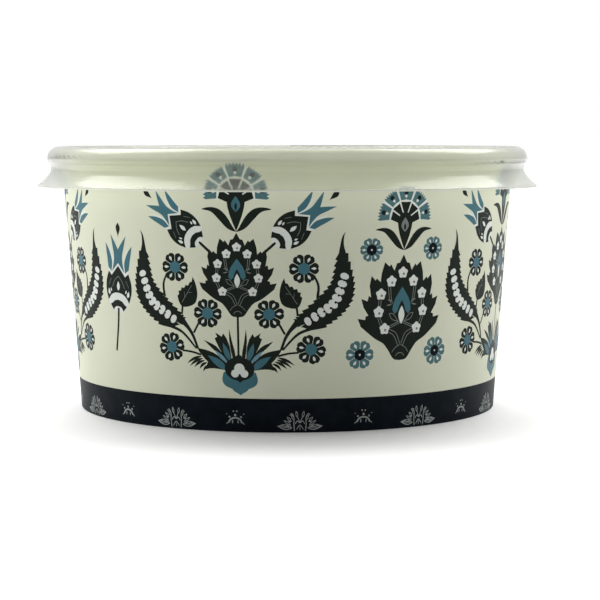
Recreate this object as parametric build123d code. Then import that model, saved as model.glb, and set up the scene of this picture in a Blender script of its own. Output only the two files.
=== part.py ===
"""Round paper bowl with a plastic lid that clips over its rim: sidewall, base disc and lid.

Millimetres, +Z up. The origin is the middle of the foot, on the surface that the bowl stands on.
Every piece is thin sheet, so each section is a midline that is given the thickness of its sheet.
Sections are drawn with X as the radius and Y as the height, then turned about Z.
"""

import math
import os

from build123d import *

# Bowl, outside sizes
rim_diameter = 150.0  # across the rolled rim
base_diameter = 133.0  # across the foot
bowl_height = 82.4  # foot to the top of the rolled rim

# Sidewall: one paperboard blank, wrapped, lapped, rolled at the rim and hemmed at the foot
wall_board = 0.42
rim_roll = 3.2  # outside diameter of the roll
roll_gap = 0.10  # left between the rolled-in edge and the wall
hem_bend = 0.25  # midline radius of the two pressed bends under the foot
seam_lap = 8.0  # width of the overlap down the side seam
seam_feather = 4.0  # width over which the outer layer settles back onto the cone
seam_clear = 0.5  # left between the seam and the roll above it
seam_turn = 77.6  # degrees from +X to the cut edge of the seam, at the back

# Base disc: paperboard with its edge turned down into a skirt, gripped by the hem
base_board = 0.38
base_rise = 6.6  # foot to the underside of the disc
base_bend = 0.9  # midline radius where the disc turns down into its skirt
hem_gap = 1.2  # left between the hem's top edge and the disc
seal_gap = 0.05  # sealing film between layers of board

# Lid: one moulding with a sunk panel, a crown over the rim, a waist and a flared skirt
lid_wall = 0.45
crown_gap = 0.25  # over the top of the rim
plug_gap = 0.30  # between the plug and the inside of the wall
waist_clearance = 0.15  # between the waist and the outside of the rim
panel_depth = 6.0  # top of the crown down to the sunk panel
sunk_ring = 13.0  # width of the panel's sunk ring, from the plug to the step
panel_step = 1.2  # rise of the panel's stiff middle above the ring
panel_step_run = 1.6  # radial length of the slope up to the middle
panel_step_bend = 1.0
panel_bend = 1.5  # midline radius from the panel up into the plug
crown_inner_round = 1.2
crown_outer_round = 3.55
crown_bulge = 1.15  # how far the crown stands out beyond the waist
crown_under_round = 2.0
waist_round = 3.0
flare_start = 33.0  # degrees that the skirt leans out from the vertical below the waist
flare_round = 13.0
flare_end = 55.0  # degrees from the vertical where the lip begins
lip_round = 1.2
lip_end = 85.0  # degrees from the vertical at the lip's edge

# Wall line, tangent to the foot's outer bend and to the roll
roll_radius = (rim_roll - wall_board) / 2
roll_centre = Vector(rim_diameter / 2 - rim_roll / 2, bowl_height - rim_roll / 2)
foot_inset = hem_bend + wall_board / 2
foot_centre = Vector(base_diameter / 2 - foot_inset, foot_inset)
reach = roll_centre - foot_centre
lean = math.asin((roll_radius + hem_bend) / reach.length)
wall_heading = math.atan2(reach.Y, reach.X) + lean
wall_up = Vector(math.cos(wall_heading), math.sin(wall_heading))
wall_out = Vector(wall_up.Y, -wall_up.X)
wall_foot = foot_centre + wall_out * hem_bend
wall_top = roll_centre - wall_out * roll_radius
taper = 90 - math.degrees(wall_heading)


def beside_wall(inset, height):
    """The point at a height on the line that runs parallel to the wall's midline, inset towards the axis."""
    start = wall_foot - wall_out * inset
    return start + wall_up * ((height - start.Y) / wall_up.Y)


def turned(path, thickness):
    """A sheet of revolution: the path is its midline in the section plane."""
    section = Plane.XZ * trace(path, line_width=thickness)
    return revolve(section, axis=Axis.Z)


def side_seam():
    """The outer layer of the lap: a square cut edge on one side, settling onto the cone on the other."""
    faces = []
    for height in (foot_inset, bowl_height - rim_roll - seam_clear):
        skin = beside_wall(0, height).X + wall_board / 2 / wall_out.X
        lap = math.degrees(seam_lap / skin)
        feather = math.degrees(seam_feather / skin)
        buried = skin - wall_board / 2
        proud = skin + wall_board
        inner_edge = CenterArc((0, 0), buried, seam_turn, lap + feather)
        outer_edge = CenterArc((0, 0), proud, seam_turn, lap)
        cut_edge = Line(inner_edge @ 0, outer_edge @ 0)
        settling_edge = Line(outer_edge @ 1, inner_edge @ 1)
        outline = Curve() + [inner_edge, settling_edge, outer_edge, cut_edge]
        faces.append(Pos(Z=height) * make_face(outline.edges()))
    return loft(faces, ruled=True)


def make_sidewall():
    """Hem, pressed foot, conical wall and rolled rim as one folded sheet, with its side seam."""
    layers = wall_board + base_board + 2 * seal_gap
    foot_flat = (layers - 2 * hem_bend) / wall_out.X
    foot_end = Vector(foot_centre.X, wall_board / 2)
    foot_start = foot_end - Vector(foot_flat, 0)

    inner_bend = JernArc(foot_start, (-1, 0), hem_bend, -(90 + taper))
    hem = Line(inner_bend @ 1, beside_wall(layers, base_rise - hem_gap))
    foot = Line(foot_start, foot_end)
    outer_bend = JernArc(foot_end, (1, 0), hem_bend, 90 - taper)
    wall = Line(wall_foot, wall_top)
    roll_open = math.degrees(math.acos(1 - (wall_board + roll_gap) / roll_radius))
    roll = JernArc(wall_top, wall_up, roll_radius, -(360 - roll_open))

    sheet = turned(Curve() + [hem, inner_bend, foot, outer_bend, wall, roll], wall_board)
    return sheet + side_seam()


def make_base_disc():
    """Flat disc whose skirt runs down between the wall and the hem."""
    inset = wall_board / 2 + seal_gap + base_board / 2
    disc_height = base_rise + base_board / 2
    skirt_end = beside_wall(inset, wall_board + seal_gap)
    corner = beside_wall(inset, disc_height)
    path = FilletPolyline(skirt_end, corner, (0, disc_height), radius=base_bend)
    return turned(path, base_board)


def make_lid():
    """Sunk panel with a stiff middle, plug, crown, waist and flared skirt with a lip."""
    crown_height = bowl_height + crown_gap + lid_wall / 2
    plug_inset = wall_board / 2 + plug_gap + lid_wall / 2
    plug_foot = beside_wall(plug_inset, crown_height - panel_depth)
    step_foot = plug_foot - Vector(sunk_ring, 0)
    step_top = step_foot + Vector(-panel_step_run, panel_step)
    waist = rim_diameter / 2 + waist_clearance + lid_wall / 2
    crown_start = Vector(waist + crown_bulge - crown_outer_round, crown_height)

    panel = FilletPolyline(
        (0, step_top.Y),
        step_top,
        step_foot,
        plug_foot,
        beside_wall(plug_inset, crown_height),
        crown_start,
        radius=[panel_step_bend, panel_step_bend, panel_bend, crown_inner_round],
    )
    tuck = math.degrees(math.acos(1 - crown_bulge / (crown_under_round + waist_round)))
    crown = JernArc(crown_start, (1, 0), crown_outer_round, -90)
    under = JernArc(crown @ 1, crown % 1, crown_under_round, -tuck)
    neck = JernArc(under @ 1, under % 1, waist_round, tuck + flare_start)
    flare = JernArc(neck @ 1, neck % 1, flare_round, flare_end - flare_start)
    lip = JernArc(flare @ 1, flare % 1, lip_round, lip_end - flare_end)
    return turned(Curve() + [*panel.edges(), crown, under, neck, flare, lip], lid_wall)


os.makedirs("parts", exist_ok=True)
for name, piece in {
    "sidewall": make_sidewall(),
    "base_disc": make_base_disc(),
    "lid": make_lid(),
}.items():
    export_step(piece, f"parts/{name}.step")
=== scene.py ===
"""Looks of a printed paper bowl and its milky lid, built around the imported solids.

Sizes of the paper and of its print are in millimetres, and MM turns them into the frame's metres.
A motif of the print is drawn flat: x runs right from the motif's axis and y up the wall from the foot.
"""

import math

import bmesh
import bpy
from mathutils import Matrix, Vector
from mathutils.geometry import delaunay_2d_cdt


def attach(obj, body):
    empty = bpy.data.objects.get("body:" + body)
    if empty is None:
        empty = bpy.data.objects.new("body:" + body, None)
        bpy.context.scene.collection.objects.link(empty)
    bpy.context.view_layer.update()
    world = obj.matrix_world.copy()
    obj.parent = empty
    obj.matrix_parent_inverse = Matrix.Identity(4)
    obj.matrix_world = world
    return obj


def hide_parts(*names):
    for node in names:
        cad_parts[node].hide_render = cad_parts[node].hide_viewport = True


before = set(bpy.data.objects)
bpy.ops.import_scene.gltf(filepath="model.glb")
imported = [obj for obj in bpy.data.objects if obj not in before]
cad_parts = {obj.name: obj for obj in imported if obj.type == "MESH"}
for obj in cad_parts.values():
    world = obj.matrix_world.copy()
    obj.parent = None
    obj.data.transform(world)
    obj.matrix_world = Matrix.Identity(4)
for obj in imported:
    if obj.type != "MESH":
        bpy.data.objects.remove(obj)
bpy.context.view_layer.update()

MM = 0.001

# Bowl, as the solids have it
RIM_DIAMETER = 150.0
BASE_DIAMETER = 133.0
BOWL_HEIGHT = 82.4
BOARD = 0.42
BASE_BOARD = 0.38
SEAL_GAP = 0.05
RIM_ROLL = 3.2
ROLL_GAP = 0.10
HEM_BEND = 0.25
BASE_RISE = 6.6
HEM_GAP = 1.2

# Side seam at the back: degrees from the front towards +X to its cut edge
SEAM_DEGREES = 167.6
SEAM_LAP = 8.0
SEAM_FEATHER = 4.0
SEAM_TOP = 78.9
SEAM_END = 0.3
CUT_EDGE = 0.05

# Wall line, tangent to the foot's outer bend and to the roll
ROLL_RADIUS = (RIM_ROLL - BOARD) / 2
FOOT_INSET = HEM_BEND + BOARD / 2
roll_centre = Vector((RIM_DIAMETER / 2 - RIM_ROLL / 2, BOWL_HEIGHT - RIM_ROLL / 2))
foot_centre = Vector((BASE_DIAMETER / 2 - FOOT_INSET, FOOT_INSET))
reach = roll_centre - foot_centre
TAPER = math.pi / 2 - math.atan2(reach.y, reach.x) - math.asin((ROLL_RADIUS + HEM_BEND) / reach.length)
wall_up = Vector((math.sin(TAPER), math.cos(TAPER)))
wall_out = Vector((math.cos(TAPER), -math.sin(TAPER)))
face_foot = foot_centre + wall_out * FOOT_INSET
face_top = roll_centre - wall_out * (ROLL_RADIUS - BOARD / 2)
FACE_RADIUS = face_foot.x - face_foot.y * math.tan(TAPER)
FACE_LOW = face_foot.y / math.cos(TAPER)
FACE_HIGH = face_top.y / math.cos(TAPER)
APEX = FACE_RADIUS / math.sin(TAPER)
ROUND = 2 * math.pi * FACE_RADIUS

# Mesh of the wall: columns round it, steps of its bends, distances at which points become one
WALL_COLUMNS = 180
HEM_STEPS = 5
ROLL_STEPS = 28
SHARP_DEGREES = 40.0
PRINT_WELD = 1e-4
MESH_WELD = CUT_EDGE / 50

# Printed triangles: kept inside the wall's outline, lying on the cone or climbing a step of the seam
INSIDE_ONLY = 1
ON_CONE = 1
ON_STEP = 2
STEP_CLIMB = BOARD / 100

# Print: motifs by their degrees from the front towards +X
BAND_HEIGHT = 10.06
BAND_FLOWERS = 11
BAND_START_DEGREES = 3.1
BAND_STRETCH = 1.1
MAIN_DEGREES = (-81.7, -12.1, 71.0, 138.6, 196.6)
BOUQUET_DEGREES = (29.0, 236.9)
TULIP_DEGREES = (-47.2, 104.8)
TULIP_LEAN = 52.4
SINGLE_LEAN = 4.6
LOTUS_LEAN = 0.03
FINE_LINE = 0.15
INKS = ("cream", "ink", "blue", "sky", "teal", "white", "line", "navy", "trace", "cut", "plain")

# Surfaces: scales of their noise per metre, depth of their bumps in metres
FIBRE_SCALE = 1400.0
SKIN_SCALE = 900.0
CLOUD_SCALE = 35.0
BUMP_DEPTH = 0.0001
ROUGHNESS_SPREAD = 0.06

# Lid: its plastic is cloudy between two tints, greyer at a slant, and clears upwards from its milky lip
LID_TINTS = ((230, 232, 219), (237, 239, 230))
# The grey at a slant is partly the longer path through the milky sheet and partly painted shade on the lid's
# edge-on ends
LID_SLANT_SHADE = (162, 166, 159)
SLANT_SHADE_START = 0.45
LIP_LOW = 70.75
LIP_HIGH = 71.0
LIP_CLARITY = 0.2
LID_CLARITY = 0.97
LID_ROUGHNESS = (0.15, 0.21)
LID_GRAIN = 0.04
LID_SHINE = 0.25
LID_SHADOW = (0.88, 0.88, 0.86, 1.0)
PLASTIC_IOR = 1.49

# Inputs and output of a colour Mix node
MIX_FACTOR = 0
MIX_FIRST = 6
MIX_SECOND = 7
MIX_RESULT = 2

# Camera: metres, millimetres of lens and sensor, degrees
CAMERA_PLACE = (0.0, -0.6395, 0.0858)
CAMERA_PITCH = 4.68
CAMERA_YAW = 0.36
CAMERA_LENS = 118.9
SENSOR = 36.0

# Floor: its glow is held low round the shadow's middle, a painted shadow that deepens the cast one; it rises
# over the near range, and on to 1 over the far one, both in metres from the shadow's middle
FLOOR_SIZE = 40.0
FLOOR_TONE = 0.85
FLOOR_GLOW = (0.08, 0.45)
PAINTED_SHADOW_REACH = (0.02, 0.09)
FLOOR_FAR = (0.3, 1.5)
PAINTED_SHADOW_MIDDLE = (0.0, -0.05, 0.0)

# Light: a lamp's name, azimuth and elevation in degrees, distance, width and height in metres, watts,
# and whether it shows in gloss
WORLD_LIGHT = 0.1
BOWL_MIDDLE = (0.0, 0.0, 0.045)
LAMPS = (
    ("left_fill", -85.0, 9.0, 1.1, 1.0, 0.3, 7.0, False),
    ("right_fill", 85.0, 9.0, 1.1, 1.0, 0.3, 5.1, False),
    ("front_fill", 0.0, 6.0, 1.3, 1.0, 0.3, 0.6, False),
    ("left_rear", -122.0, 50.0, 1.0, 0.6, 0.6, 3.0, True),
    ("right_rear", 126.0, 48.0, 1.0, 0.6, 0.6, 2.7, True),
    ("back_box", 180.0, 66.0, 1.0, 0.7, 0.7, 8.0, False),
)


# Shapes of the print

def disc(centre, radius, height=None, steps=20):
    """A circle, or an ellipse if a height is given."""
    turns = [2 * math.pi * i / steps for i in range(steps)]
    return [(centre[0] + radius * math.cos(a), centre[1] + (height or radius) * math.sin(a)) for a in turns]


def curve_between(a, b, c, d, steps):
    """Points from b towards c on the smooth curve through four points, without c itself."""
    points = []
    for i in range(steps):
        t = i / steps
        p = b + (c - a) * (t / 2) + (a * 2 - b * 5 + c * 4 - d) * (t * t / 2)
        points.append(p + (b * 3 - a - c * 3 + d) * (t ** 3 / 2))
    return points


def smooth(points, steps=4):
    """A closed curve through the points."""
    curve = []
    count = len(points)
    for i in range(count):
        a, b, c, d = (Vector(points[(i + k) % count]) for k in (-1, 0, 1, 2))
        curve += [tuple(p) for p in curve_between(a, b, c, d, steps)]
    return curve


def line_through(points, steps=5):
    """An open curve through the points."""
    ends = [Vector(points[0]) * 2 - Vector(points[1]), *points, Vector(points[-1]) * 2 - Vector(points[-2])]
    curve = []
    for i in range(len(points) - 1):
        a, b, c, d = (Vector(ends[i + k]) for k in range(4))
        curve += curve_between(a, b, c, d, steps)
    return [*curve, Vector(points[-1])]


def at_share(curve, share):
    """The point at a share of the curve's steps, and the way the curve runs there."""
    last = len(curve) - 1
    place = share * last
    low = min(int(place), last - 1)
    return curve[low].lerp(curve[low + 1], place - low), (curve[low + 1] - curve[low]).normalized()


def stroke(points, width, end_width=None, steps=5):
    """A line of even or tapering width through the points."""
    curve = line_through(points, steps) if len(points) > 2 else [Vector(p) for p in points]
    last = len(curve) - 1
    final = width if end_width is None else end_width
    left, right = [], []
    for i, p in enumerate(curve):
        along = (curve[min(i + 1, last)] - curve[max(i - 1, 0)]).normalized()
        side = Vector((-along.y, along.x)) * ((width + (final - width) * i / last) / 2)
        left.append(tuple(p + side))
        right.append(tuple(p - side))
    return left + right[::-1]


def leaf(base, tip, width, bow=0.0, belly=0.5, steps=10):
    """A petal from base to tip, widest at the share belly of its length and bowed to its left."""
    base, tip = Vector(base), Vector(tip)
    along = tip - base
    side = Vector((-along.y, along.x)).normalized()
    power = math.log(0.5) / math.log(belly)
    left, right = [], []
    for i in range(1, steps):
        t = i / steps
        p = base + along * t + side * (bow * 4 * t * (1 - t))
        half = width / 2 * math.sin(math.pi * t ** power)
        left.append(tuple(p + side * half))
        right.append(tuple(p - side * half))
    return [tuple(base), *right, tuple(tip), *left[::-1]]


def path(*runs, steps=4):
    """Smooth runs that meet at corners, each starting where the last one ended, without the final end."""
    return [tuple(p) for run in runs for p in line_through(run, steps)[:-1]]


def serrated(run, teeth, depth, lean=0.2, steps=12):
    """A run with saw teeth on its left side, which lean on along the run by a share of their depth."""
    curve = line_through(run, steps)
    points = []
    for k in range(teeth + 1):
        p, along = at_share(curve, k / teeth)
        points.append(tuple(p))
        if k < teeth:
            points.append(tuple(p + (Vector((-along.y, along.x)) + along * lean) * depth))
    return points


def moved(shapes, origin=(0, 0), turn=0.0, scale=(1, 1)):
    """Shapes scaled, turned left by degrees and set down at an origin."""
    c, s = math.cos(math.radians(turn)), math.sin(math.radians(turn))
    return [
        (ink, [(origin[0] + c * x * scale[0] - s * y * scale[1],
                origin[1] + s * x * scale[0] + c * y * scale[1]) for x, y in outline])
        for ink, outline in shapes
    ]


def both_sides(shapes):
    """Each shape, followed by its mirror image about the motif's axis."""
    return [s for ink, outline in shapes for s in ((ink, outline), (ink, [(-x, y) for x, y in outline]))]


def closed_half(half):
    """A whole outline from its right half, both of whose ends lie on the motif's axis."""
    return half + [(-x, y) for x, y in half[-2:0:-1]]


def on_circle(centre, radius, degrees):
    """A point at degrees from straight up, clockwise."""
    a = math.radians(degrees)
    return centre[0] + radius * math.sin(a), centre[1] + radius * math.cos(a)


# Motifs of the print

def blossom(centre, radius=1.4, eye=(0.2, -0.3)):
    """Small white flower with an eye to one side."""
    petals, mean, swell, eye_radius, steps = 5, 0.89, 0.11, 0.33, 30
    turns = [2 * math.pi * i / steps for i in range(steps)]
    radii = [radius * (mean + swell * math.cos(petals * a)) for a in turns]
    outline = [(centre[0] + r * math.sin(a), centre[1] + r * math.cos(a)) for r, a in zip(radii, turns)]
    pupil = disc((centre[0] + eye[0], centre[1] + eye[1]), eye_radius, steps=8)
    return [("white", outline), ("line", pupil)]


def rosette(centre, radius, petal_ink, slot_ink, eye, eye_ink, turn=0.0):
    """Six heart-shaped petals with a slot in each, round an eye."""
    petals, eye_wave, eye_steps = 6, 0.07, 36
    edge_shares = ((0.28, 0.10), (0.50, 0.27), (0.74, 0.385), (0.92, 0.29), (1.0, 0.13), (0.955, 0.0))
    half = [(a * radius, b * radius) for a, b in edge_shares]
    heart = smooth(half + [(x, -y) for x, y in half[-2::-1]], 3)
    slot = leaf((0.46 * radius, 0), (0.84 * radius, 0), 0.19 * radius, belly=0.6, steps=6)
    shapes = []
    for i in range(petals):
        shapes += moved([(petal_ink, heart), (slot_ink, slot)], centre, 360 / petals * i + turn)
    turns = [2 * math.pi * i / eye_steps for i in range(eye_steps)]
    rim = [(eye * radius * (1 - eye_wave * math.cos(petals * a)), a + math.radians(turn)) for a in turns]
    iris = [(centre[0] + r * math.cos(a), centre[1] + r * math.sin(a)) for r, a in rim]
    return shapes + [(eye_ink, iris)]


def carnation(drop_ink):
    """Fan of five serrated petals on a dark calyx, with two dark leaves; its foot is at the origin."""
    middle = (0.0, 9.9)
    petal_edges = (-98, -57, -21, 21, 57, 98)
    tooth_tip, tooth_foot, petal_foot = 9.95, 9.1, 5.8
    gap, teeth = 2.6, 6
    fan_radius, fan_half = 9.55, 95
    whole_fan = range(-fan_half, fan_half + 1, 5)
    shapes = [("white", [on_circle(middle, fan_radius, a) for a in whole_fan])]
    for start, end in zip(petal_edges, petal_edges[1:]):
        start, end = start + gap, end - gap
        step = (end - start) / teeth
        half = (start + end) / 2
        edge = []
        for k in range(teeth):
            edge.append(on_circle(middle, tooth_foot, start + step * k))
            edge.append(on_circle(middle, tooth_tip, start + step * (k + 0.5)))
        edge.append(on_circle(middle, tooth_foot, end))
        edge += [on_circle(middle, petal_foot, a) for a in (end, half, start)]
        spot = disc(on_circle(middle, 8.0, half), 0.77, steps=10)
        drop = leaf(on_circle(middle, 6.0, half), on_circle(middle, 7.35, half), 1.0, belly=0.7, steps=6)
        shapes += [("teal", edge), ("ink", spot), ("white", drop)]
    scallop, scallop_depth = 38, 0.35
    dips = [scallop_depth * abs(math.sin(math.pi * (a + fan_half) / scallop)) for a in whole_fan]
    for ink, radius in (("white", 5.65), ("ink", 5.35)):
        rim = [on_circle(middle, radius - dip, a) for dip, a in zip(dips, whole_fan)]
        shapes.append((ink, [(-2.5, 8.3), *rim, (2.5, 8.3)]))
    calyx = [(0, -0.1), (1.0, 2.3), (1.85, 4.6), (2.45, 6.8), (2.8, 9.2)]
    shapes.append(("ink", calyx + [(-x, y) for x, y in calyx[:0:-1]]))
    heart = (0.0, 9.3)
    for a in petal_edges[1:-1]:
        shapes.append(("white", stroke([on_circle(heart, 2.4, a), on_circle(heart, 6.1, a)], 0.35, 0.55)))
    shapes.append((drop_ink, leaf((0, 5.5), (0, 10.1), 2.7, belly=0.45)))
    shapes.append(("ink", leaf((0, 5.9), (0, 8.3), 0.8)))
    frond = smooth([(10.4, 6.2), (7.7, 6.85), (5.1, 6.3), (2.9, 4.3), (0.75, 0.8), (0.1, -0.25), (2.6, 0.7),
                    (5.1, 3.2), (7.5, 5.5)])
    return shapes + both_sides([("ink", frond)])


def palmette():
    """Dark serrated leaf-head with a ring of blossoms round a blue flame."""
    tooth_lobes = (
        ((1.78, 56.7), (2.45, 55.0), (3.41, 56.5)),
        ((3.86, 56.0), (5.07, 57.0), (5.83, 54.5)),
        ((6.04, 52.4), (7.07, 53.3), (7.4, 52.8)),
        ((8.46, 53.9), (8.89, 51.6), (8.4, 48.9)),
        ((9.0, 49.3), (9.26, 48.0), (10.87, 48.6)),
        ((10.26, 46.6), (8.92, 44.7), (9.6, 44.5)),
        ((9.68, 43.7), (11.6, 44.0), (10.77, 42.1)),
    )
    skirt = line_through([(10.77, 42.1), (7.2, 39.4), (4.79, 38.1), (3.37, 36.5), (1.8, 34.4), (0, 34.0)], 4)
    right = [(0, 58.7), (1.04, 56.8)]
    right += [p for lobe in tooth_lobes for p in lobe]
    right += [tuple(p) for p in skirt[1:]]
    shapes = [("ink", closed_half(right))]
    lines = (
        [(3.3, 51.2), (3.0, 48.6), (2.6, 47.4)],
        [(3.9, 51.2), (3.5, 48.6), (3.0, 47.4)],
        [(5.7, 48.3), (5.8, 46.6)],
        [(6.3, 48.3), (6.4, 46.6)],
        [(5.9, 44.2), (5.1, 42.5)],
        [(6.5, 44.2), (5.7, 42.3)],
        [(0.2, 42.9), (3.3, 41.6)],
        [(0.5, 43.2), (3.5, 42.0)],
        [(3.3, 41.4), (1.3, 40.4), (0.15, 37.9)],
        [(3.6, 40.8), (1.9, 39.8), (0.7, 37.5)],
        [(0.1, 37.7), (1.5, 36.9), (2.3, 35.9)],
        [(0, 35.8), (0.7, 35.6), (1.2, 35.0)],
        [(0.9, 43.2), (2.3, 44.9), (3.4, 45.0)],
        [(1.0, 43.2), (2.6, 43.7), (3.4, 45.0)],
    )
    links = [stroke(run, FINE_LINE) for run in lines]
    links += [leaf((2.7, 47.2), (4.3, 46.9), 0.3), leaf((2.6, 47.9), (4.1, 48.3), 0.3)]
    shapes += both_sides([("line", outline) for outline in links])
    flame = [(0, 51.2), (0.9, 50.0), (1.8, 48.7), (2.4, 47.3), (2.6, 45.8), (1.9, 44.9), (1.1, 45.6),
             (0.7, 46.9), (0, 48.1)]
    shapes.append(("blue", closed_half(flame)))
    shapes.append(("white", leaf((0, 42.5), (0, 46.8), 1.7, belly=0.5)))
    shapes += blossom((0, 54.5))
    for x, y in ((3.1, 52.5), (5.8, 49.55), (6.25, 45.45), (4.5, 41.5)):
        shapes += blossom((x, y)) + blossom((-x, y))
    return shapes


def lotus():
    """Fan of dark and blue petals round a white trefoil, on a blue ogee base."""
    comb = (((11.2, 22.2), (16.3, 19.7)), ((10.9, 21.6), (15.4, 19.0)), ((10.4, 21.0), (14.0, 18.7)),
            ((9.7, 20.4), (12.3, 18.3)), ((8.9, 19.6), (11.2, 17.6)))
    lowest = path([(4.0, 18.3), (7.2, 18.7), (9.2, 18.6), (10.2, 18.3)],
                  [(10.2, 18.3), (9.6, 20.4), (8.0, 21.4)],
                  [(8.0, 21.4), (4.0, 18.3)])
    broad = path([(3.6, 18.2), (7.4, 19.0), (9.9, 20.9), (12.0, 23.3), (12.7, 24.6)],
                 [(12.7, 24.6), (9.1, 23.9), (6.3, 22.6), (3.6, 20.2)],
                 [(3.6, 20.2), (3.6, 18.2)])
    slim = path([(3.2, 20.3), (5.5, 22.4), (8.7, 25.3), (10.4, 27.0)],
                [(10.4, 27.0), (7.2, 25.6), (5.3, 23.8), (3.0, 20.9)],
                [(3.0, 20.9), (3.2, 20.3)])
    forked = path([(2.1, 20.9), (2.5, 24.4), (3.1, 27.0), (4.4, 29.2)],
                  [(4.4, 29.2), (4.9, 28.2)],
                  [(4.9, 28.2), (6.8, 29.4)],
                  [(6.8, 29.4), (6.3, 28.1)],
                  [(6.3, 28.1), (7.1, 27.7)],
                  [(7.1, 27.7), (6.1, 25.3), (4.6, 22.8), (2.9, 20.6)],
                  [(2.9, 20.6), (2.1, 20.9)])
    spike = path([(0.9, 21.4), (1.1, 23.8), (1.8, 26.8), (2.5, 30.6)],
                 [(2.5, 30.6), (2.65, 27.5), (2.35, 24.8), (1.75, 21.4)],
                 [(1.75, 21.4), (0.9, 21.4)])
    petals = [("ink", leaf(a, b, 0.85, bow=0.42, belly=0.45)) for a, b in comb]
    petals += [
        ("ink", lowest),
        ("ink", broad),
        ("blue", leaf((3.7, 18.3), (9.5, 22.5), 2.1, bow=0.2, belly=0.45)),
        ("ink", slim),
        ("sky", leaf((3.1, 20.1), (7.3, 24.2), 1.05, bow=0.05)),
        ("ink", forked),
        ("blue", leaf((2.4, 20.6), (4.6, 26.4), 1.6, bow=-0.1)),
        ("line", stroke([(1.95, 21.6), (2.5, 25.0), (3.3, 27.3)], 0.16)),
        ("ink", spike),
    ]
    ogee = path([(0, 18.0), (4.8, 17.8)],
                [(4.8, 17.8), (5.3, 15.9), (5.1, 14.6), (4.2, 13.6), (2.4, 12.8)],
                [(2.4, 12.8), (1.9, 12.2), (0.9, 11.6), (0, 11.0)])
    core = [
        ("blue", closed_half(ogee + [(0, 11.0)])),
        ("ink", disc((0, 18.8), 4.45, 3.5, 32)),
        ("ink", [(1.2, 15.7), (0, 14.7), (-1.2, 15.7)]),
        ("ink", disc((0, 21.9), 1.1)),
        ("white", disc((0, 18.85), 1.57)),
        ("white", disc((1.4, 17.4), 1.17)),
        ("white", disc((-1.4, 17.4), 1.17)),
    ]
    upright = both_sides(petals) + core
    level = 25.0
    return [(ink, [(x + LOTUS_LEAN * (level - y), y) for x, y in outline]) for ink, outline in upright]


def tulip():
    """Blue forked petals in a dark cup, upright, with its foot at the origin and a dark drop above it."""
    halo = [(0, 12.9), (2.5, 10.3), (4.0, 11.4), (3.9, 10.3), (4.5, 3.6), (4.15, 2.3), (3.3, 1.2),
            (1.9, -0.2), (0, -0.5)]
    fork = path([(0, 16.6), (1.2, 18.3), (2.95, 20.5)],
                [(2.95, 20.5), (2.2, 17.4), (1.6, 14.9), (1.75, 12.9), (2.45, 10.4)],
                [(2.45, 10.4), (0, 12.9)])
    cup = path([(0, 12.2), (2.65, 9.35)],
               [(2.65, 9.35), (3.85, 10.4)],
               [(3.85, 10.4), (4.9, 7.7), (4.95, 5.0), (4.1, 2.4)],
               [(4.1, 2.4), (2.9, 3.9), (1.5, 4.65), (0, 4.85)])
    collar = path([(0, 2.95), (1.4, 2.6), (2.3, 1.9), (3.25, 1.4)],
                  [(3.25, 1.4), (1.9, -0.05)],
                  [(1.9, -0.05), (1.4, 0.7), (0.8, 1.05), (0, 1.15)])
    side_petal = path([(2.7, 10.4), (4.0, 11.4)],
                      [(4.0, 11.4), (4.35, 13.6), (4.7, 15.4), (5.1, 18.0)],
                      [(5.1, 18.0), (3.8, 16.4), (3.0, 15.0), (2.35, 12.9), (2.7, 10.4)])
    shapes = both_sides([("white", leaf((2.4, 10.2), (3.2, 17.2), 1.6, belly=0.4))])
    shapes += [
        ("white", closed_half(halo)),
        ("blue", closed_half(fork + [(0, 12.9)])),
        ("ink", closed_half(cup + [(0, 4.85)])),
        ("ink", closed_half(collar + [(0, 1.15)])),
    ]
    shapes += both_sides([
        ("blue", side_petal),
        ("white", leaf((3.55, 3.9), (3.95, 5.7), 0.85, belly=0.4)),
        ("white", leaf((2.75, 4.8), (3.1, 5.9), 0.5)),
        ("line", stroke([(0, 9.4), (1.5, 8.0), (2.4, 6.2)], FINE_LINE)),
        ("line", stroke([(2.9, 8.4), (3.9, 6.6)], 0.12)),
    ])
    shapes.append(("white", leaf((0, 5.4), (0, 8.0), 1.1, belly=0.45)))
    shapes.append(("ink", leaf((0.1, 19.7), (0, 23.8), 1.6, belly=0.66)))
    return shapes


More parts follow.
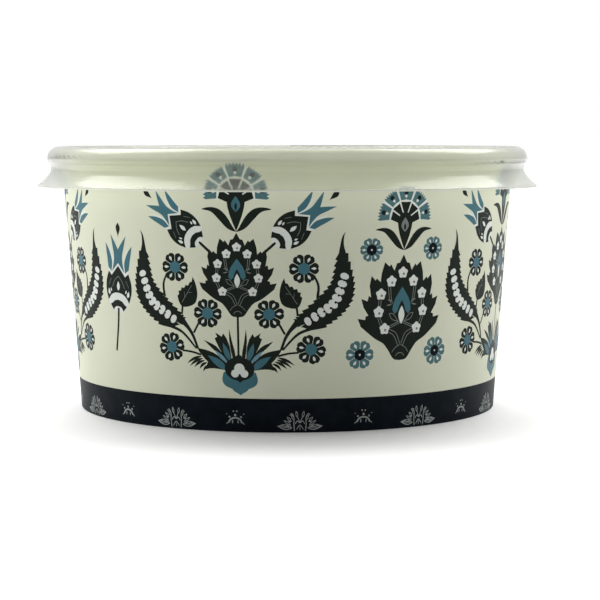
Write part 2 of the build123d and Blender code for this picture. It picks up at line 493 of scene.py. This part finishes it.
def long_leaf():
    """Sickle-shaped leaf with saw-toothed edges and a row of white beads down its middle, on two stems."""
    inner = [(29.7, 52.2), (28.7, 47.6), (27.7, 43.8), (25.3, 40.8), (21.8, 37.6), (18.2, 34.5),
             (16.6, 32.9)]
    outer = [(24.0, 30.4), (28.0, 32.9), (31.1, 35.4), (33.4, 38.7), (34.0, 42.6), (33.4, 46.6),
             (31.9, 52.2)]
    tip = [(31.9, 52.2), (31.3, 54.4), (31.35, 56.8), (31.85, 58.5)]
    back = [(31.85, 58.5), (30.8, 57.0), (30.1, 54.2), (29.7, 52.2)]
    upper_stem = [(16.6, 32.9), (15.0, 30.7), (13.6, 28.4), (12.1, 24.4)]
    under_stem = [(12.9, 24.3), (14.1, 27.4), (15.6, 29.7), (17.4, 31.3)]
    lower_stem = [(17.4, 31.1), (19.2, 30.9), (21.0, 30.1), (24.0, 30.4)]
    stems = path(upper_stem, [upper_stem[-1], under_stem[0]], under_stem,
                 [under_stem[-1], lower_stem[0]], lower_stem)
    teeth, tooth_depth = 14, 0.7
    edge_in = serrated(inner[::-1], teeth, tooth_depth)[::-1]
    edge_out = serrated(outer[::-1], teeth, tooth_depth)[::-1]
    blade = edge_in + stems + edge_out + path(tip, back)
    shapes = [
        ("ink", stroke([(21.6, 30.6), (18.2, 29.4), (15.9, 27.6), (13.0, 24.4)], 0.95, 0.55)),
        ("ink", blade),
        ("cream", leaf((15.9, 30.0), (19.6, 32.0), 0.32)),
    ]
    bead = smooth([(0.85, 0.1), (0.6, 0.9), (-0.05, 1.2), (-0.65, 0.8), (-0.8, 0.0), (-0.65, -0.8),
                   (-0.05, -1.2), (0.6, -0.8)], 3)
    dot = disc((-1.02, -0.15), 0.3, steps=8)
    row = line_through([(20.4, 32.7), (24.4, 35.2), (27.9, 37.5), (29.9, 41.2), (31.4, 45.5)], 8)
    beads, smallest, growth = 9, 1.12, 0.18
    for i in range(beads):
        share = i / (beads - 1)
        middle, along = at_share(row, share)
        size = smallest + growth * math.sin(math.pi * share)
        slant = math.degrees(math.atan2(along.y, along.x))
        drawn = [("white", bead), ("ink", dot)] if i else [("white", bead)]
        shapes += moved(drawn, tuple(middle), slant, (size, size))
    return shapes


def side_sprays():
    """What stands beside the main motif on one side: long leaf, rosettes, small leaf and their stems."""
    small_leaf = path([(13.7, 45.5), (12.7, 43.2), (12.3, 40.4), (13.0, 37.9), (15.0, 36.75), (17.3, 36.6),
                       (18.4, 38.0), (18.9, 39.7)])
    small_leaf += [(18.9, 39.7), (18.3, 40.2), (18.5, 41.2), (17.7, 41.3), (17.4, 42.3), (16.6, 42.1),
                   (16.0, 43.1), (15.3, 42.8), (14.7, 43.9), (14.1, 44.0)]
    shapes = long_leaf()
    shapes += [
        ("ink", stroke([(17.5, 34.3), (17.2, 37.0)], 0.65)),
        ("ink", small_leaf),
        ("line", stroke([(17.4, 37.8), (14.0, 43.1)], 0.16, 0.1)),
        ("line", stroke([(16.4, 39.4), (16.6, 41.0)], 0.1)),
        ("line", stroke([(15.5, 40.8), (14.1, 40.9)], 0.1)),
        ("ink", stroke([(22.4, 46.0), (23.6, 43.0), (23.3, 39.2)], 0.6, 0.85)),
        ("ink", stroke([(11.9, 32.3), (13.7, 29.0)], 0.65)),
        ("ink", stroke([(17.6, 23.6), (14.4, 23.3), (11.5, 22.6)], 0.6)),
    ]
    for centre, turn in (((19.5, 48.1), 0), ((9.2, 34.95), 2), ((21.25, 24.4), -13)):
        shapes += rosette(centre, 4.35, "ink", "white", 0.4, "blue", turn)
    return shapes


def main_motif():
    """Carnation over palmette over lotus, with a tulip, leaves and rosettes on each side."""
    shapes = [
        ("ink", stroke([(0, 34.5), (0, 20.0)], 0.65)),
        *both_sides([("ink", stroke([(11.4, 55.8), (8.3, 53.1)], 0.8))]),
        *both_sides(side_sprays()),
        *lotus(),
        *moved(carnation("blue"), (0, 59.2)),
        *palmette(),
    ]
    for side in (1, -1):
        shapes += moved(tulip(), (-11.3 * side, 55.7), TULIP_LEAN * side)
        shapes.append(("ink", stroke([(-11.4 * side, 55.8), (-8.3 * side, 53.1)], 0.7)))
    return shapes


def bouquet():
    """Carnation over a larger palmette, with four teal rosettes."""
    shapes = moved(carnation("line"), (0, 53.5), scale=(0.93, 0.93))
    palmette_foot = 34.0
    shapes += moved(moved(palmette(), (0, -palmette_foot)), (0, 20.6), scale=(1.22, 1.27))
    for x, y, radius, eye in ((10.6, 53.45, 3.6, 0.44), (13.05, 22.65, 4.3, 0.38)):
        for side in (1, -1):
            centre = (x * side, y)
            shapes += rosette(centre, radius, "teal", "white", eye, "navy")
            shapes.append(("white", disc(centre, 0.3, steps=8)))
    return shapes


def single_tulip():
    """One tulip on a thin stem, leaning a little."""
    shapes = moved(tulip(), (0, -5.8), scale=(1.2, 1.12))
    shapes.append(("ink", stroke([(0.1, -5.0), (-0.2, -10.5), (-1.1, -18.2)], 0.9, 0.8)))
    return moved(shapes, (0.25, 40.0), -SINGLE_LEAN)


def band_lotus():
    """Large line flower of the foot band, with fine petals spread about its foot."""
    foot = (0.0, 0.5)
    shapes = [
        ("trace", stroke([(0, 2.1), (0.55, 1.6), (1.0, 0.9)], 0.28, 0.2)),
        ("trace", stroke([(0, 1.5), (0, 0.7)], 0.2)),
        ("trace", leaf((2.2, 1.3), (6.7, 1.8), 1.5, belly=0.45)),
        ("navy", leaf((2.6, 1.35), (5.9, 1.7), 1.0, belly=0.45)),
        ("trace", stroke([(1.6, 0.5), (1.8, 2.4), (1.75, 4.2)], 0.32, 0.24)),
        ("trace", stroke([(0, 2.7), (0.8, 3.2), (1.4, 2.4)], 0.24)),
        ("trace", stroke([(0.1, 2.9), (0.7, 4.2), (1.2, 5.0)], 0.24, 0.16)),
        ("trace", stroke([(1.8, 4.2), (2.1, 5.0), (2.6, 5.2), (3.0, 4.7)], 0.22, 0.16)),
        ("trace", disc((2.95, 3.2), 0.38, steps=10)),
    ]
    petals = ((72, 3.3, 5.7), (59, 3.0, 5.6), (45, 3.5, 5.4), (30, 3.2, 5.2), (12, 3.6, 5.6))
    rim = 0.4
    for degrees, near, far in petals:
        edge = leaf(on_circle(foot, near, degrees), on_circle(foot, far, degrees), 0.75)
        inside = leaf(on_circle(foot, near + rim, degrees), on_circle(foot, far - rim, degrees), 0.36)
        shapes += [("trace", edge), ("navy", inside)]
    hatches, first_hatch, hatch_step = 6, 2.8, 0.5
    for i in range(hatches):
        x = first_hatch + hatch_step * i
        shapes.append(("trace", stroke([(x, 1.2), (x + 0.4, 1.85)], 0.17)))
    return both_sides(shapes)


def band_sprig():
    """Small line flower of the foot band."""
    arch = [(-2.1, 2.75), (-1.3, 3.85), (0, 4.25), (1.3, 3.85), (2.1, 2.75)]
    shapes = [
        ("trace", disc((1.75, 4.5), 0.3, steps=8)),
        ("trace", leaf((0.9, 2.5), (0.75, 3.7), 0.36)),
        ("trace", leaf((2.2, 2.9), (2.8, 2.3), 0.3)),
        ("trace", disc((0.5, 6.2), 0.22, steps=8)),
        ("trace", leaf((2.35, 5.3), (2.8, 5.45), 0.22)),
    ]
    return both_sides(shapes) + [("trace", stroke(arch, 0.5)), ("trace", disc((0, 5.05), 0.36, steps=10))]


# Where the print lies on the wall

def unrolled(point, degrees):
    """Arc length at the foot from the seam's cut edge, and slant height, of a motif's point."""
    x, y = point
    axis = math.radians((degrees - SEAM_DEGREES) % 360)
    turn = axis + math.atan2(x, APEX + y) / math.sin(TAPER)
    return Vector((turn * FACE_RADIUS, math.hypot(x, APEX + y) - APEX))


def seam_lift(u, t):
    """How far the outer layer of the side seam stands off the cone."""
    across = min(1, max(0, (u + CUT_EDGE) / CUT_EDGE), max(0, (SEAM_LAP + SEAM_FEATHER - u) / SEAM_FEATHER))
    along = min(1, max(0, (t - FACE_LOW) / SEAM_END), max(0, (SEAM_TOP - t) / SEAM_END))
    return BOARD * across * along


def turn_at(u):
    """The angle about the bowl's axis, from the front, of an arc length on the unrolled wall."""
    return math.radians(SEAM_DEGREES) + u / FACE_RADIUS


def in_frame(radius, height, u):
    """The place in the frame of a radius and a height at an arc length on the unrolled wall."""
    turn = turn_at(u)
    return Vector((radius * math.sin(turn), -radius * math.cos(turn), height)) * MM


def on_wall(u, t):
    """The place in the frame of a point of the unrolled wall."""
    lift = seam_lift(u, t)
    radius = FACE_RADIUS + t * math.sin(TAPER) + lift * math.cos(TAPER)
    height = t * math.cos(TAPER) - lift * math.sin(TAPER)
    return in_frame(radius, height, u)


def wall_normal(u):
    """The way the cone faces."""
    turn = turn_at(u)
    return Vector((math.cos(TAPER) * math.sin(turn), -math.cos(TAPER) * math.cos(turn), -math.sin(TAPER)))


def wall_columns():
    """Arc lengths of the upright lines that divide the wall, the seam's own edges among them."""
    stops = (0.0, SEAM_LAP, SEAM_LAP + SEAM_FEATHER, ROUND - CUT_EDGE)
    columns = [-CUT_EDGE]
    for start, end in zip(stops, stops[1:]):
        count = math.ceil((end - start) / ROUND * WALL_COLUMNS)
        columns += [start + (end - start) * i / count for i in range(count)]
    return columns + [stops[-1]]


def rectangle(left, right, low, high):
    """A box on the unrolled wall."""
    return [Vector((left, low)), Vector((right, low)), Vector((right, high)), Vector((left, high))]


def printed_shapes():
    """All shapes of the print on the unrolled wall, the lowest first."""
    step = 360 / BAND_FLOWERS
    motifs = (
        (moved(band_lotus(), scale=(1.0, BAND_STRETCH)),
         [BAND_START_DEGREES + step * i for i in range(BAND_FLOWERS)]),
        (band_sprig(), [BAND_START_DEGREES + step * (i + 0.5) for i in range(BAND_FLOWERS)]),
        (main_motif(), MAIN_DEGREES),
        (bouquet(), BOUQUET_DEGREES),
        (single_tulip(), TULIP_DEGREES),
    )
    placed = [("navy", rectangle(-CUT_EDGE, ROUND - CUT_EDGE, FACE_LOW, BAND_HEIGHT))]
    for motif, places in motifs:
        for degrees in places:
            placed += [(ink, [unrolled(p, degrees) for p in outline]) for ink, outline in motif]
    placed.append(("cut", rectangle(-CUT_EDGE, 0, FACE_LOW, FACE_HIGH)))
    return placed


def printed_face():
    """The printed face: corners on the unrolled wall, and triangles with the number of their ink."""
    columns = wall_columns()
    count = len(columns)
    points = [Vector((u, FACE_LOW)) for u in columns] + [Vector((u, FACE_HIGH)) for u in columns]
    edges = [(i, count + i) for i in range(count)]
    for t in (FACE_LOW + SEAM_END, SEAM_TOP - SEAM_END, SEAM_TOP):
        edges.append((len(points), len(points) + 1))
        points += [Vector((-CUT_EDGE, t)), Vector((SEAM_LAP + SEAM_FEATHER, t))]
    faces = [[*range(count), *range(2 * count - 1, count - 1, -1)]]
    inks = ["cream"]
    for ink, outline in printed_shapes():
        twice = sum(a.x * b.y - b.x * a.y for a, b in zip(outline, outline[1:] + outline[:1]))
        outline = outline if twice > 0 else outline[::-1]
        faces.append([*range(len(points), len(points) + len(outline))])
        points += outline
        inks.append(ink)
    corners, _, triangles, _, _, owners = delaunay_2d_cdt(points, edges, faces, INSIDE_ONLY, PRINT_WELD)
    kept = [(t, INKS.index(inks[max(o)])) for t, o in zip(triangles, owners) if 0 in o]
    return corners, kept


def sheet_section():
    """Midline of the sheet from the hem's edge to the end of the roll, as points and right-hand normals."""
    layers = BOARD + BASE_BOARD + 2 * SEAL_GAP
    foot_flat = (layers - 2 * HEM_BEND) / wall_out.x
    foot_start = Vector((foot_centre.x - foot_flat, BOARD / 2))
    hem_foot = foot_start + Vector((0, HEM_BEND)) - wall_out * HEM_BEND
    hem_edge = hem_foot + wall_up * ((BASE_RISE - HEM_GAP - hem_foot.y) / wall_up.y)
    roll_open = math.acos(1 - (BOARD + ROLL_GAP) / ROLL_RADIUS)
    samples = []

    def run(point, heading):
        samples.append((point, Vector((math.sin(heading), -math.cos(heading)))))

    def bend(centre, radius, heading, turn, steps):
        side = math.copysign(1, turn)
        for i in range(steps + 1):
            h = heading + turn * i / steps
            run(centre + Vector((math.sin(h), -math.cos(h))) * radius * side, h)

    down = -math.pi / 2 - TAPER
    run(hem_edge, down)
    bend(foot_start + Vector((0, HEM_BEND)), HEM_BEND, down, -down, HEM_STEPS)
    bend(foot_centre, HEM_BEND, 0.0, math.pi / 2 - TAPER, HEM_STEPS)
    wall_at = len(samples) - 1
    bend(roll_centre, ROLL_RADIUS, math.pi / 2 - TAPER, roll_open - 2 * math.pi, ROLL_STEPS)
    return samples, wall_at


def rest_of_sheet():
    """Rings of the sheet apart from its printed face: a section point and the ink of the next strip."""
    samples, wall_at = sheet_section()
    half = BOARD / 2
    right = [p + n * half for p, n in samples]
    left = [p - n * half for p, n in samples]
    inside_roll = [(p, "plain") for p in right[wall_at + 1:]]
    back = [(p, "plain") for p in left[::-1]]
    foot = [(p, "navy" if i else "plain") for i, p in enumerate(right[:wall_at + 1])]
    return inside_roll + back + foot


def add_printed_face(built):
    """Adds the printed face: each triangle has its ink, and a mark for lying on the cone or on a step."""
    corners, triangles = printed_face()
    verts = [built.verts.new(on_wall(*c)) for c in corners]
    marks = built.faces.layers.int.new("printed")
    for triangle, ink in triangles:
        face = built.faces.new([verts[i] for i in triangle])
        face.material_index = ink
        lifts = [seam_lift(*corners[i]) for i in triangle]
        face[marks] = ON_STEP if max(lifts) - min(lifts) > STEP_CLIMB else ON_CONE


def add_rest_of_sheet(built):
    """Adds the strips between the rings of the rest of the sheet."""
    columns = wall_columns()
    rings = [([built.verts.new(in_frame(p.x, p.y, u)) for u in columns], ink) for p, ink in rest_of_sheet()]
    for (low, ink), (high, _) in zip(rings, rings[1:]):
        for i in range(len(low) - 1):
            face = built.faces.new((low[i], low[i + 1], high[i + 1], high[i]))
            face.material_index = INKS.index(ink)


def make_sidewall(materials):
    """The wrapped, rolled and hemmed sheet with its printed face, as one closed mesh."""
    built = bmesh.new()
    add_printed_face(built)
    add_rest_of_sheet(built)
    bmesh.ops.remove_doubles(built, verts=built.verts, dist=MESH_WELD * MM)
    for face in built.faces:
        face.smooth = True
    mesh = bpy.data.meshes.new("printed_wall")
    built.to_mesh(mesh)
    built.free()
    for name in INKS:
        mesh.materials.append(materials[name])
    mesh.set_sharp_from_angle(angle=math.radians(SHARP_DEGREES))
    face_normals(mesh)
    return mesh


def face_normals(mesh):
    """Shades the printed face as the cone it lies on, and the steps of the seam flat."""
    printed = mesh.attributes["printed"].data
    normals = [Vector()] * len(mesh.loops)
    for polygon in mesh.polygons:
        kind = printed[polygon.index].value
        for loop in polygon.loop_indices if kind else ():
            place = mesh.vertices[mesh.loops[loop].vertex_index].co
            turn = math.atan2(place.x, -place.y) - math.radians(SEAM_DEGREES)
            normals[loop] = wall_normal(turn * FACE_RADIUS) if kind == ON_CONE else polygon.normal.copy()
    mesh.normals_split_custom_set(normals)
    mesh.attributes.remove(mesh.attributes["printed"])


# Materials

def colour(red, green, blue):
    """A colour written as it shows on a screen, 0 to 255."""
    def linear(c):
        c /= 255
        return c / 12.92 if c <= 0.04045 else ((c + 0.055) / 1.055) ** 2.4

    return linear(red), linear(green), linear(blue), 1.0


def node_maker(tree):
    """A maker of the tree's nodes: links pair a socket with its source, values go to sockets or settings."""
    def node(kind, links=(), **values):
        made = tree.nodes.new(kind)
        for key, value in values.items():
            if key in made.inputs:
                made.inputs[key].default_value = value
            else:
                setattr(made, key, value)
        for socket, source in links:
            tree.links.new(source, made.inputs[socket])
        return made

    return node


def ramp(node, source, start, end, low=0.0, high=1.0, curve="LINEAR"):
    """The source carried over from the range start to end to the range low to high."""
    made = node("ShaderNodeMapRange", [("Value", source)], interpolation_type=curve)
    for socket, value in zip(("From Min", "From Max", "To Min", "To Max"), (start, end, low, high)):
        made.inputs[socket].default_value = value
    return made.outputs["Result"]


def colour_mix(node, factor, first, second):
    """A mix of two colours by a factor."""
    made = node("ShaderNodeMix", [(MIX_FACTOR, factor)], data_type="RGBA")
    made.inputs[MIX_FIRST].default_value = first
    made.inputs[MIX_SECOND].default_value = second
    return made.outputs[MIX_RESULT]


def calculated(node, operation, first, second):
    """What a Math node makes of two values."""
    return node("ShaderNodeMath", [(0, first), (1, second)], operation=operation).outputs[0]


def new_material(name):
    """A material with a Principled shader, and the maker of its other nodes."""
    material = bpy.data.materials.new(name)
    material.use_nodes = True
    tree = material.node_tree
    return material, tree, tree.nodes["Principled BSDF"], node_maker(tree)


def board(name, tone, mottle=0.04, mottle_scale=60.0, roughness=0.42, shine=0.12, grain=0.05):
    """Coated paperboard: a printed colour with faint mottling, over the grain of the fibres."""
    material, tree, shader, node = new_material(name)
    place = node("ShaderNodeTexCoord").outputs["Object"]
    cloud = node("ShaderNodeTexNoise", [("Vector", place)], Scale=mottle_scale, Detail=4.0)
    dark = tuple(c * (1 - mottle) for c in tone[:3]) + (1.0,)
    light = tuple(min(1.0, c * (1 + mottle)) for c in tone[:3]) + (1.0,)
    tree.links.new(colour_mix(node, cloud.outputs["Fac"], dark, light), shader.inputs["Base Color"])
    fibre = node("ShaderNodeTexNoise", [("Vector", place)], Scale=FIBRE_SCALE, Detail=3.0)
    spread = ramp(node, fibre.outputs["Fac"], 0.0, 1.0,
                  roughness - ROUGHNESS_SPREAD, roughness + ROUGHNESS_SPREAD)
    tree.links.new(spread, shader.inputs["Roughness"])
    bump = node("ShaderNodeBump", [("Height", fibre.outputs["Fac"])], Strength=grain, Distance=BUMP_DEPTH)
    tree.links.new(bump.outputs["Normal"], shader.inputs["Normal"])
    shader.inputs["Specular IOR Level"].default_value = shine
    return material


def milky_plastic():
    """Thin milky plastic: lets light through softly, with a satin moulded skin."""
    material, tree, shader, node = new_material("milky_lid")
    place = node("ShaderNodeTexCoord").outputs["Object"]
    cloud = node("ShaderNodeTexNoise", [("Vector", place)], Scale=CLOUD_SCALE, Detail=3.0)
    tint = colour_mix(node, cloud.outputs["Fac"], colour(*LID_TINTS[0]), colour(*LID_TINTS[1]))
    # Greyer where the sheet is seen at a slant: partly the longer path through it, partly painted shade on
    # the lid's ends
    facing = node("ShaderNodeLayerWeight", Blend=0.5).outputs["Facing"]
    edge = ramp(node, facing, SLANT_SHADE_START, 1.0, curve="SMOOTHSTEP")
    slant_shade = node("ShaderNodeMix", [(MIX_FACTOR, edge), (MIX_FIRST, tint)], data_type="RGBA")
    slant_shade.inputs[MIX_SECOND].default_value = colour(*LID_SLANT_SHADE)
    tree.links.new(slant_shade.outputs[MIX_RESULT], shader.inputs["Base Color"])
    height = node("ShaderNodeSeparateXYZ", [("Vector", place)]).outputs["Z"]
    clear = ramp(node, height, LIP_LOW * MM, LIP_HIGH * MM, LIP_CLARITY, LID_CLARITY)
    tree.links.new(clear, shader.inputs["Transmission Weight"])
    skin = node("ShaderNodeTexNoise", [("Vector", place)], Scale=SKIN_SCALE, Detail=2.0)
    tree.links.new(ramp(node, skin.outputs["Fac"], 0.0, 1.0, *LID_ROUGHNESS), shader.inputs["Roughness"])
    bump = node("ShaderNodeBump", [("Height", skin.outputs["Fac"])], Strength=LID_GRAIN, Distance=BUMP_DEPTH)
    tree.links.new(bump.outputs["Normal"], shader.inputs["Normal"])
    shader.inputs["IOR"].default_value = PLASTIC_IOR
    shader.inputs["Specular IOR Level"].default_value = LID_SHINE
    shadow_ray = node("ShaderNodeLightPath").outputs["Is Shadow Ray"]
    through = node("ShaderNodeBsdfTransparent", Color=LID_SHADOW).outputs["BSDF"]
    blend = node("ShaderNodeMixShader", [(0, shadow_ray), (1, shader.outputs["BSDF"]), (2, through)])
    tree.links.new(blend.outputs["Shader"], tree.nodes["Material Output"].inputs["Surface"])
    return material


def print_materials():
    """One material for each ink of the print, for the cut edge of the board and for its plain side."""
    return {
        "cream": board("cream_ground", colour(210, 213, 191)),
        "ink": board("dark_ink", colour(24, 31, 26), mottle=0.25, mottle_scale=300.0, shine=0.05),
        "blue": board("blue_ink", colour(64, 106, 117), mottle=0.12, mottle_scale=250.0, shine=0.08),
        "sky": board("pale_blue_ink", colour(104, 142, 156), mottle=0.12, mottle_scale=250.0),
        "teal": board("teal_ink", colour(75, 109, 113), mottle=0.12, mottle_scale=250.0, shine=0.08),
        "white": board("white_print", colour(214, 219, 212)),
        "line": board("fine_lines", colour(118, 124, 120)),
        "navy": board("navy_band", colour(15, 21, 27), mottle=0.8, mottle_scale=240.0, shine=0.03),
        "trace": board("band_tracery", colour(150, 157, 154), mottle=0.5, mottle_scale=400.0, shine=0.08),
        "cut": board("cut_edge", colour(222, 220, 210), roughness=0.8, shine=0.2),
        "plain": board("white_board", colour(226, 226, 217)),
    }


# Stage

def backdrop_share(node):
    """1 for rays from the camera and for those that show the background in gloss or through plastic."""
    light = node("ShaderNodeLightPath").outputs
    straight = calculated(node, "MAXIMUM", light["Is Camera Ray"], light["Is Glossy Ray"])
    return calculated(node, "MAXIMUM", straight, light["Is Transmission Ray"])


def make_floor():
    """Wide pale floor that keeps the object's shadow, deepened round it by a painted shadow in its glow, and
    runs out to white.
    """
    material, tree, shader, node = new_material("pale_floor")
    shader.inputs["Base Color"].default_value = (FLOOR_TONE, FLOOR_TONE, FLOOR_TONE, 1.0)
    shader.inputs["Roughness"].default_value = 1.0
    shader.inputs["Specular IOR Level"].default_value = 0.0
    shader.inputs["Emission Color"].default_value = (1.0, 1.0, 1.0, 1.0)
    place = node("ShaderNodeTexCoord").outputs["Object"]
    away = node("ShaderNodeVectorMath", [(0, place)], operation="DISTANCE")
    away.inputs[1].default_value = PAINTED_SHADOW_MIDDLE
    distance = away.outputs["Value"]
    # The glow is low round the shadow's middle: a painted shadow on the floor
    near = ramp(node, distance, *PAINTED_SHADOW_REACH, *FLOOR_GLOW, "SMOOTHSTEP")
    far = ramp(node, distance, *FLOOR_FAR, 0.0, 1.0 - FLOOR_GLOW[1], "SMOOTHSTEP")
    glow = calculated(node, "MULTIPLY", calculated(node, "ADD", near, far), backdrop_share(node))
    tree.links.new(glow, shader.inputs["Emission Strength"])
    built = bmesh.new()
    bmesh.ops.create_grid(built, x_segments=1, y_segments=1, size=FLOOR_SIZE / 2)
    mesh = bpy.data.meshes.new("floor")
    built.to_mesh(mesh)
    built.free()
    mesh.materials.append(material)
    floor = bpy.data.objects.new("floor", mesh)
    bpy.context.scene.collection.objects.link(floor)


def make_world():
    """Dim even light all round, with a white background where it is seen."""
    world = bpy.data.worlds.new("studio")
    bpy.context.scene.world = world
    world.use_nodes = True
    tree = world.node_tree
    dim = (WORLD_LIGHT, WORLD_LIGHT, WORLD_LIGHT, 1.0)
    node = node_maker(tree)
    seen = colour_mix(node, backdrop_share(node), dim, (1.0, 1.0, 1.0, 1.0))
    tree.links.new(seen, tree.nodes["Background"].inputs["Color"])


def softbox(name, azimuth, elevation, distance, width, height, watts, in_gloss):
    """A soft lamp that faces the bowl; azimuth is in degrees from the front towards +X."""
    lamp = bpy.data.lights.new(name, "AREA")
    lamp.shape = "RECTANGLE"
    lamp.size = width
    lamp.size_y = height
    lamp.energy = watts
    holder = bpy.data.objects.new(name, lamp)
    holder.visible_glossy = in_gloss
    holder.visible_transmission = in_gloss
    a, e = math.radians(azimuth), math.radians(elevation)
    away = Vector((math.sin(a) * math.cos(e), -math.cos(a) * math.cos(e), math.sin(e)))
    holder.location = Vector(BOWL_MIDDLE) + away * distance
    holder.rotation_euler = (-away).to_track_quat("-Z", "Y").to_euler()
    bpy.context.scene.collection.objects.link(holder)


def make_camera():
    """The photograph's view: from the front, a little above the rim and looking slightly down."""
    camera = bpy.data.objects.new("camera", bpy.data.cameras.new("camera"))
    camera.data.lens = CAMERA_LENS
    camera.data.sensor_width = SENSOR
    camera.location = CAMERA_PLACE
    camera.rotation_euler = [math.radians(a) for a in (90 - CAMERA_PITCH, 0.0, -CAMERA_YAW)]
    bpy.context.scene.collection.objects.link(camera)
    bpy.context.scene.camera = camera


scene = bpy.context.scene
scene.view_settings.view_transform = "Standard"
make_camera()
make_world()
make_floor()
for lamp in LAMPS:
    softbox(*lamp)

inks = print_materials()
wall = bpy.data.objects.new("printed_wall", make_sidewall(inks))
scene.collection.objects.link(wall)
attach(wall, "bowl")
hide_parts("sidewall")

for name, material in (("base_disc", inks["plain"]), ("lid", milky_plastic())):
    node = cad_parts[name]
    for slot in node.material_slots:
        slot.link = "OBJECT"
        slot.material = material
